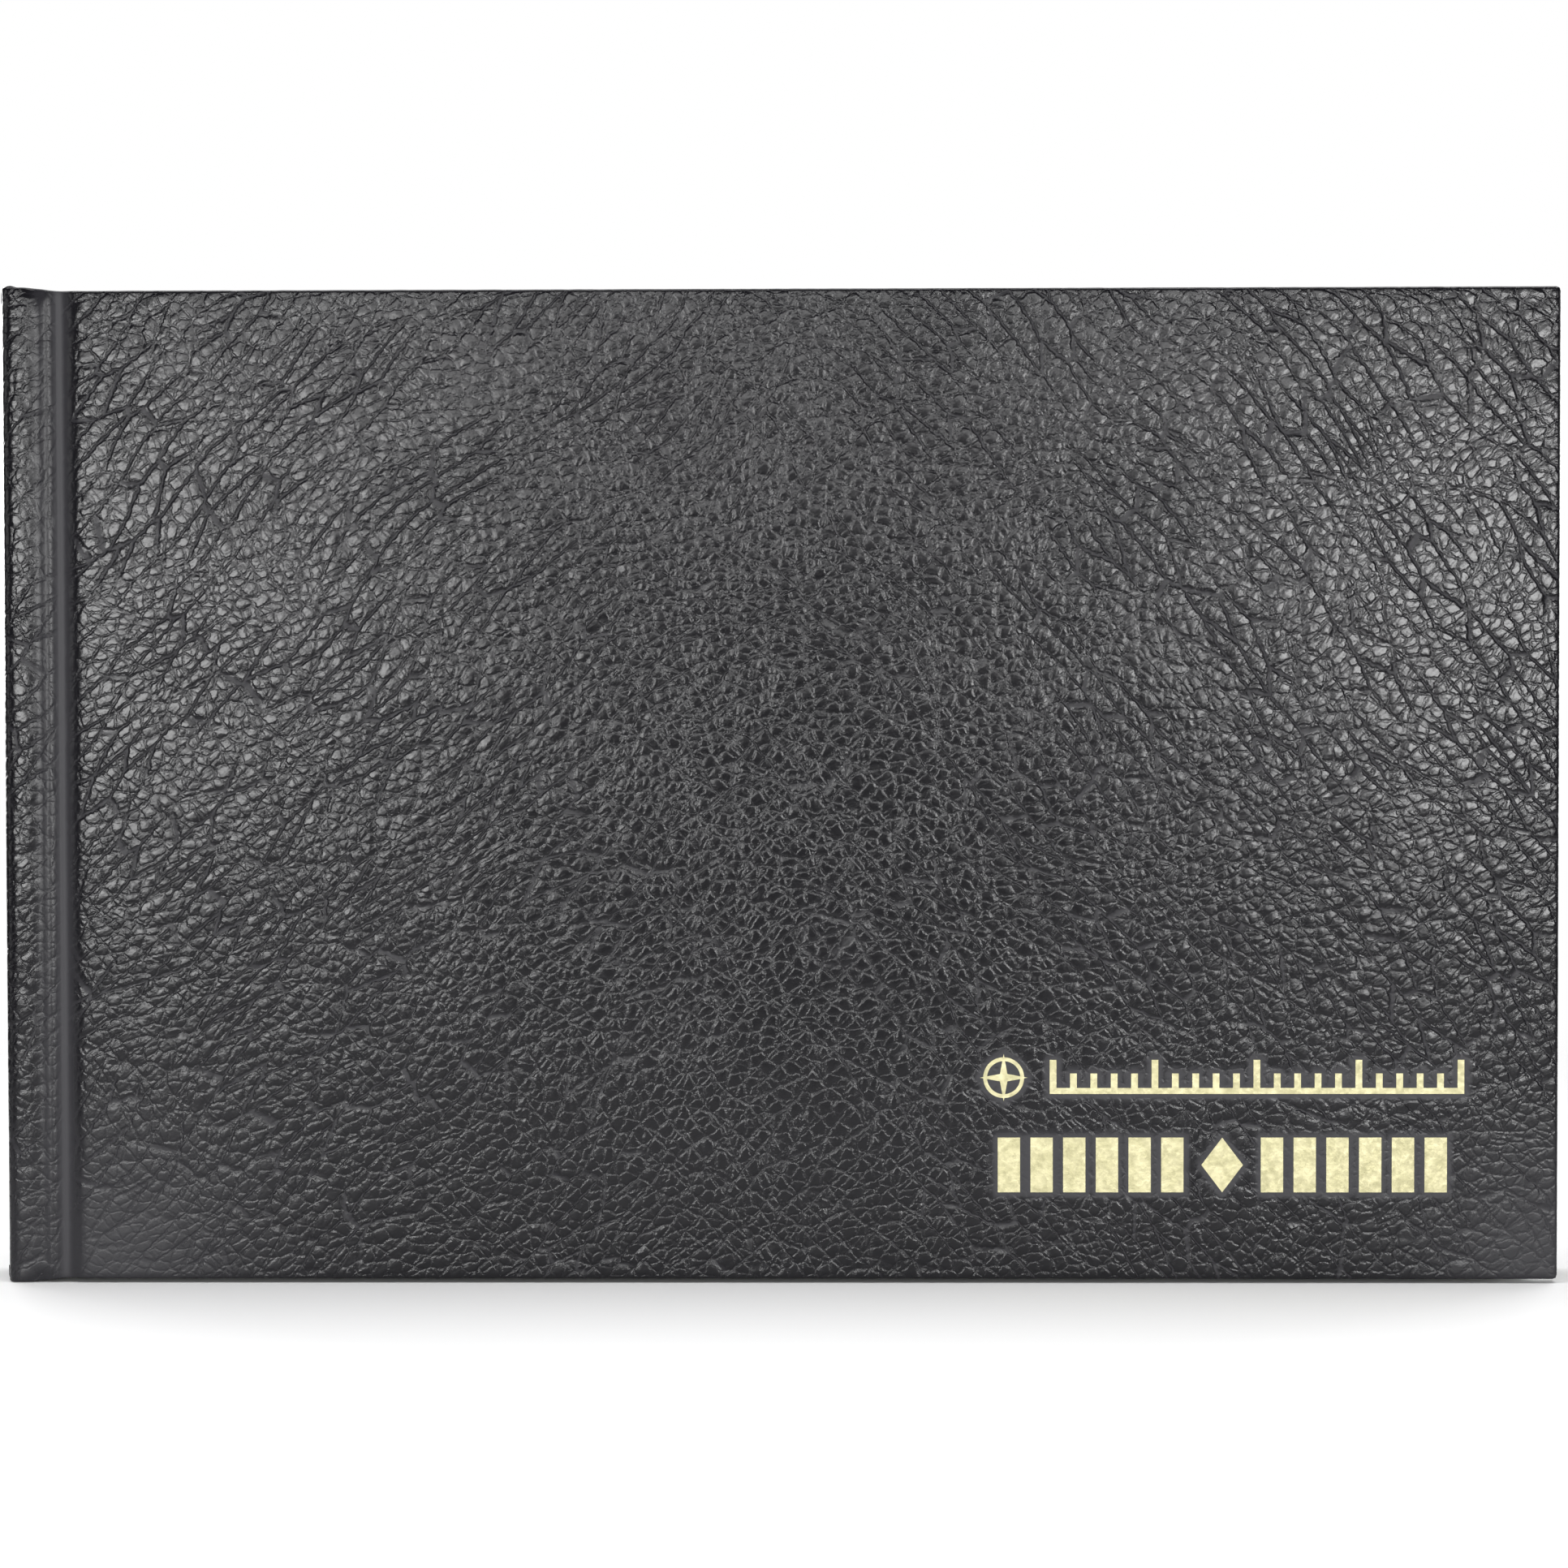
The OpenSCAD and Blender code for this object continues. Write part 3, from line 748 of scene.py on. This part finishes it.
@material
def studio_floor(n):
    """Pale and matt, and gone altogether before it reaches the horizon."""
    mottle = n.noise(n.place(1), 6.0, detail=4)
    n.set(Base_Color=n.mix(mottle, (0.86, 0.86, 0.865), (0.885, 0.885, 0.885)), Roughness=0.7)
    reach = n.vector_length(n.place(1))
    n.set(Alpha=n.spread(reach, *FLOOR_FADE, 1.0, 0.0))


NODE_MATERIALS = {
    "leatherette": leatherette, "gold_foil": gold_foil, "greyboard": greyboard, "kraft": kraft,
    "gauze": gauze, "thread": thread,
}


def dress_cad_nodes():
    """Gives every CAD node that stays in view the material of its slot."""
    for part in frame["record"]["subparts"]:
        make = NODE_MATERIALS.get(part["material_slot"])
        node = frame["nodes"][part["node"]]
        if make and not node.hide_render:
            node.data.materials.clear()
            node.data.materials.append(make())


# ---------- paper ----------


def sheet_mesh(name, s, d, z, thickness, side):
    """A thin closed sheet: a line of s and d, stretched over heights z, with thickness inwards."""
    n_s, n_d = inward_normals(s, d)
    rows, columns = len(z), len(s)
    outer = place(s[None], d[None], z[:, None], side).reshape(-1, 3)
    inner_s, inner_d = s + n_s * thickness, d + n_d * thickness
    inner = place(inner_s[None], inner_d[None], z[:, None], side).reshape(-1, 3)
    faces = two_layer_faces(rows, columns)
    piece = mesh_object(name, np.concatenate([outer, inner]), faces, flip=side == BACK)
    piece.data.set_sharp_from_angle(angle=SHARP_ANGLE)
    lengths = np.concatenate([[0], np.cumsum(np.hypot(np.diff(s), np.diff(d)))]) + s[0]
    flat = np.stack(np.broadcast_arrays(lengths[None], z[:, None]), axis=-1).reshape(-1, 2)
    set_sheet(piece, np.concatenate([flat, flat]))
    return piece


# Where a turning leaf starts, a place further out across it, and where its fine columns end
LEAF_STUB_S = FOLD_S + 2.5
LEAF_CROWN_S = 16
LEAF_FLAT_S = 26


def turning_sheet(name, node, side, look):
    """A leaf as a flat sheet from near the gutter to the fore edge, with close columns near the gutter."""
    d0, d1 = depth_of(node, side)
    near = np.linspace(LEAF_STUB_S, LEAF_FLAT_S, 44)
    far = np.linspace(LEAF_FLAT_S, FORE_S, 26)[1:]
    s = np.concatenate([near, far])
    d = np.full(len(s), d0)
    z = np.linspace(PAGE_LOW.z, PAGE_HIGH.z, 12)
    piece = sheet_mesh(name, s, d, z, (d1 - d0) * 0.9, side)
    piece.data.materials.append(look())
    level = (PAGE_LOW.z + PAGE_HIGH.z) / 2
    place(LEAF_STUB_S + 1, 0, level, side).ravel()
    place(LEAF_CROWN_S, 0, level, side).ravel()
    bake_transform(piece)
    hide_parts(node)


def turning_leaves():
    for side in (FRONT, BACK):
        name = SIDE_NAMES[side]
        turning_sheet(name + "_flyleaf_sheet", name + "_flyleaf", side,
                      endpaper)
        count = sum(node.startswith(name + "_leaf_") for node in frame["nodes"])
        for i in range(1, count + 1):
            turning_sheet(f"{name}_leaf_{i}_sheet", f"{name}_leaf_{i}", side,
                          ledger)


def pastedown_sheet(side):
    """The glued half of an endpaper, with the hinge that crosses the joint."""
    name = SIDE_NAMES[side]
    low_d, high_d = depth_of(name + "_pastedown", side)
    top_d = high_d - PAPER_T
    well_d = low_d + 0.02
    gauze_s = mm(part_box(name + "_mull_flap")[1].x) - SPINE_X
    well_end = COVER_S - TURN_IN
    s = np.concatenate([np.linspace(FOLD_S, BOARD_S + 1, 26), np.linspace(BOARD_S + 1.5, 40, 40),
                        np.linspace(41, well_end - 3, 50),
                        np.linspace(well_end - 2.5, PASTE_HIGH.x - SPINE_X, 34)])
    z = np.concatenate([np.linspace(PASTE_LOW.z, PASTE_LOW.z + 18, 30),
                        np.linspace(PASTE_LOW.z + 20, PASTE_HIGH.z - 20, 30),
                        np.linspace(PASTE_HIGH.z - 18, PASTE_HIGH.z, 30)])
    grid_s, grid_z = np.meshgrid(s, z)
    in_well = smooth_step(grid_s, BOARD_S + 1.5, BOARD_S + 4)
    in_well = in_well * (1 - smooth_step(grid_s, well_end - 1.2, well_end))
    edge = np.minimum(grid_z - COVER_Z0, COVER_Z1 - grid_z) - TURN_IN
    in_well *= smooth_step(edge, 0, 1.2)
    over_gauze = 0.2 * (1 - smooth_step(grid_s, gauze_s, gauze_s + 0.8))
    drop = (top_d - well_d) * in_well * (1 - over_gauze / 0.4)
    wobble = 0.02 * smooth_noise(grid_s, grid_z, 11, 900 + side)
    points_out = place(grid_s, top_d - drop + wobble, grid_z, side).reshape(-1, 3)
    points_in = place(grid_s, top_d - drop + wobble + PAPER_T * 0.9, grid_z, side).reshape(-1, 3)
    rows, columns = grid_s.shape
    faces = two_layer_faces(rows, columns)
    piece = mesh_object(name + "_pastedown_sheet", np.concatenate([points_out, points_in]), faces,
                        flip=side == BACK)
    flat = np.stack([grid_s, grid_z], axis=-1).reshape(-1, 2)
    set_sheet(piece, np.concatenate([flat, flat]))
    piece.data.materials.append(endpaper())
    level = (PAGE_LOW.z + PAGE_HIGH.z) / 2
    place(FOLD_S + 2, 0, level, side).ravel()
    place(BOARD_S, 0, level, side).ravel()
    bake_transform(piece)
    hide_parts(name + "_pastedown", name + "_endpaper_joint")


def section_sheets(number, rng):
    """One sewn section as its nested, folded sheets of paper."""
    sections = sum(node.startswith("section_") for node in frame["nodes"])
    leaf_low, leaf_high = depth_of("front_leaf_1", FRONT)
    pitch = leaf_high - leaf_low
    sheets = 6
    low_d, high_d = depth_of(f"section_{number}", FRONT)
    middle = (low_d + high_d) / 2
    loose_front = sum(n.startswith("front_leaf_") for n in frame["nodes"]) if number == 1 else 0
    loose_back = sum(n.startswith("back_leaf_") for n in frame["nodes"]) if number == sections else 0
    stub_end = 9.2
    spacing = (high_d - low_d) / (2 * sheets)
    points, faces, uv, shades = [], [], [], []
    for k in range(sheets):
        r = (sheets - k - 0.5) * spacing
        front_end = stub_end if k < loose_front else FORE_S - rng.uniform(0, 0.22) - 0.02 * k
        back_end = stub_end if k < loose_back else FORE_S - rng.uniform(0, 0.22) - 0.02 * k
        if number == 1 and k == sheets - 1 and loose_front > sheets:
            back_end = stub_end
        centre_s = FOLD_S + sheets * spacing
        angles = np.linspace(math.pi / 2, 3 * math.pi / 2, 11)
        arc_s = centre_s + r * np.cos(angles)
        arc_d = middle - r * np.sin(angles)
        s = np.concatenate([[front_end], np.linspace(min(front_end, 40), centre_s + 1, 6), arc_s,
                            np.linspace(centre_s + 1, min(back_end, 40), 6), [back_end]])
        d = np.concatenate([np.full(7, middle - r), arc_d, np.full(7, middle + r)])
        keep = np.concatenate([[True], np.hypot(np.diff(s), np.diff(d)) > 1e-6])
        s, d = s[keep], d[keep]
        n_s, n_d = inward_normals(s, d)
        half = pitch * 0.42
        z0 = PAGE_LOW.z + rng.uniform(0, 0.12)
        z1 = PAGE_HIGH.z - rng.uniform(0, 0.12)
        outline_s = np.concatenate([s + n_s * half, (s - n_s * half)[::-1]])
        outline_d = np.concatenate([d + n_d * half, (d - n_d * half)[::-1]])
        count = len(outline_s)
        start = sum(len(p) for p in points)
        ends = [place(outline_s, outline_d, z, FRONT) for z in (z0, z1)]
        points += ends
        faces += grid_faces(2, count, start, closed=True)
        # Caps between the two lines of the outline
        for c in range(len(s) - 1):
            a, b = start + c, start + c + 1
            e, f = start + count - 1 - c, start + count - 2 - c
            faces.append((a, e, f, b))
            faces.append((b + count, f + count, e + count, a + count))
        uv += [np.stack([outline_s, np.full(count, z)], axis=-1) for z in (z0, z1)]
        shades.append(np.full(2 * count, rng.uniform(0, 0.3)))
    piece = mesh_object(f"section_{number}_sheets", np.concatenate(points), faces,
                        flip=True, smooth=False)
    set_sheet(piece, np.concatenate(uv))
    set_attribute(piece, "shade", np.concatenate(shades))
    piece.data.materials.append(page_edges())
    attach(piece, "text_block")
    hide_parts(f"section_{number}")


# ---------- end bands and spine caps ----------


def wrapped_band(name, z):
    """A cord wrapped with thread in two colours, across the ends of the folds."""
    half = BAND_HIGH.y
    rings, sides = 180, 14
    centre_s = (BAND_LOW.x + BAND_HIGH.x) / 2 - SPINE_X
    radius = (BAND_HIGH.x - BAND_LOW.x) / 2
    points, wraps = [], []
    for i in range(rings):
        y = -half + 2 * half * i / (rings - 1)
        turn = 2 * math.pi * y / 0.62
        r = radius * (0.88 + 0.1 * abs(math.cos(turn)))
        r *= 0.35 if i in (0, rings - 1) else 1
        for k in range(sides):
            a = 2 * math.pi * k / sides
            x = SPINE_X + centre_s + r * math.cos(a)
            points.append((x * MM, y * MM, (z + r * math.sin(a)) * MM))
            wraps.append(0.0 if math.floor(y / 1.24 + 40) % 2 else 1.0)
    faces = grid_faces(rings, sides, closed=True)
    faces.append(tuple(range(sides)))
    faces.append(tuple(reversed(range((rings - 1) * sides, rings * sides))))
    piece = mesh_object(name + "_wraps", points, faces, flip=True)
    set_attribute(piece, "wrap", wraps)
    piece.data.materials.append(end_band())
    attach(piece, "text_block")
    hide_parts(name)


def spine_cap(name, z_end, direction):
    """Leatherette folded over one end of the spine's card and turned in behind it."""
    outer_s = SKIN_T * 0.75
    inner_s = CARD_HIGH.x - SPINE_X + SKIN_T
    radius = (inner_s - outer_s) / 2
    angles = np.linspace(0, math.pi, 13)
    line_s = np.concatenate([[outer_s], (outer_s + inner_s) / 2 - radius * np.cos(angles),
                             np.full(14, inner_s)])
    top = z_end - direction * 0.12
    line_z = np.concatenate([[top - direction * (radius + 1.2)],
                             top - direction * radius * (1 - np.sin(angles)),
                             top - direction * (radius + np.linspace(0.4, TURN_IN, 14))])
    half = CARD_HIGH.y - 0.1
    y = np.linspace(-half, half, 26)
    ds, dz = np.gradient(line_s), np.gradient(line_z)
    length = np.hypot(ds, dz)
    in_s, in_z = dz / length * direction, -ds / length * direction
    rows, columns = len(y), len(line_s)

    def layer(offset):
        s = line_s + in_s * offset
        z = line_z + in_z * offset
        grid = np.stack(np.broadcast_arrays(
            (SPINE_X + s)[None], y[:, None], z[None]), axis=-1)
        return grid.reshape(-1, 3) * MM

    faces = two_layer_faces(rows, columns)
    layers = np.concatenate([layer(0), layer(-SKIN_T * 0.9)])
    piece = mesh_object(name, layers, faces, flip=direction < 0)
    run = np.concatenate([[0], np.cumsum(np.hypot(np.diff(line_s), np.diff(line_z)))])
    flat = np.stack(np.broadcast_arrays(y[:, None] + 300, run[None]), axis=-1).reshape(-1, 2)
    flat = np.concatenate([flat, flat])
    set_sheet(piece, flat)
    set_attribute(piece, "calm", np.full(len(flat), 0.3))
    piece.data.materials.append(leatherette())
    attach(piece, "text_block")


# ---------- studio ----------

CAMERA_AT = Vector((0.0141, -0.700, 0.0959))
CAMERA_LOOKS_AT = Vector((0.00064, -0.00776, 0.06743))
CAMERA_ROLL = math.radians(-0.121)
CAMERA_LENS = 118.3


def add_camera():
    data = bpy.data.cameras.new("camera")
    data.lens = CAMERA_LENS
    data.sensor_width = 36
    data.clip_start = 0.01
    camera = bpy.data.objects.new("camera", data)
    bpy.context.scene.collection.objects.link(camera)
    camera.location = CAMERA_AT
    turn = (CAMERA_LOOKS_AT - CAMERA_AT).to_track_quat("-Z", "Y").to_matrix().to_4x4()
    roll = Matrix.Rotation(CAMERA_ROLL, 4, Vector((0, 0, 1)))
    camera.rotation_euler = (turn @ roll).to_euler()
    bpy.context.scene.camera = camera


def add_area(name, at, target, size, power):
    data = bpy.data.lights.new(name, "AREA")
    data.shape = "RECTANGLE"
    data.size, data.size_y = size
    data.energy = power
    light = bpy.data.objects.new(name, data)
    bpy.context.scene.collection.objects.link(light)
    light.location = at
    light.rotation_euler = (Vector(target) - Vector(at)).to_track_quat("-Z", "Y").to_euler()


# Each lamp's name, place, target, width and height in metres, and power in watts
LIGHTS = [
    ("left_box", (-0.27, -1.0, 0.085), (0, 0, 0.07), (0.24, 0.12), 2.6),
    ("right_box", (0.235, -1.0, 0.09), (0, 0, 0.07), (0.16, 0.12), 2.5),
    ("high_box", (-0.02, -1.0, 0.255), (0, 0, 0.07), (0.45, 0.12), 1.6),
    ("far_left_box", (-0.95, -0.4, 0.14), (0, 0, 0.07), (0.7, 0.3), 1.2),
    ("far_right_box", (0.95, -0.4, 0.14), (0, 0, 0.07), (0.7, 0.3), 0.8),
    ("overhead_box", (0, -0.02, 0.5), (0, -0.02, 0), (0.6, 0.35), 3.5),
    ("back_left_box", (-0.6, 0.9, 0.25), (0, 0, 0.07), (0.6, 0.4), 6.0),
    ("back_right_box", (0.6, 0.9, 0.25), (0, 0, 0.07), (0.6, 0.4), 6.0),
]


WORLD_LIGHT = 0.06


def add_world():
    """White all round where it is seen directly, and much dimmer as a light."""
    world = bpy.data.worlds.new("studio")
    world.use_nodes = True
    bpy.context.scene.world = world
    nodes, links = world.node_tree.nodes, world.node_tree.links
    background = nodes["Background"]
    background.inputs["Color"].default_value = (1, 1, 1, 1)
    seen = nodes.new("ShaderNodeLightPath").outputs["Is Camera Ray"]
    strength = nodes.new("ShaderNodeMapRange")
    strength.inputs["To Min"].default_value = WORLD_LIGHT
    strength.inputs["To Max"].default_value = 1.0
    links.new(seen, strength.inputs["Value"])
    links.new(strength.outputs["Result"], background.inputs["Strength"])


def add_floor():
    reach = 3.0
    corners = [(-reach, -reach, 0), (reach, -reach, 0), (reach, reach, 0), (-reach, reach, 0)]
    floor = mesh_object("floor", corners, [(0, 1, 2, 3)])
    floor.data.materials.append(studio_floor())


add_camera()
add_floor()
add_world()
for light in LIGHTS:
    add_area(*light)
bpy.context.scene.view_settings.view_transform = "Standard"

front_leather = cover_leather(FRONT)
back_leather = cover_leather(BACK)
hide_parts("front_leatherette", "spine_leatherette")
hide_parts("back_leatherette")
spine_cap("spine_head_cap", SPINE_H, 1)
spine_cap("spine_tail_cap", 0, -1)
for side in (FRONT, BACK):
    pastedown_sheet(side)
turning_leaves()
section_rng = np.random.default_rng(7)
for number in range(1, 7):
    section_sheets(number, section_rng)
wrapped_band("head_band", (BAND_LOW.z + BAND_HIGH.z) / 2)
tail_low, tail_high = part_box("tail_band")
wrapped_band("tail_band", mm(tail_low.z + tail_high.z) / 2)
dress_cad_nodes()
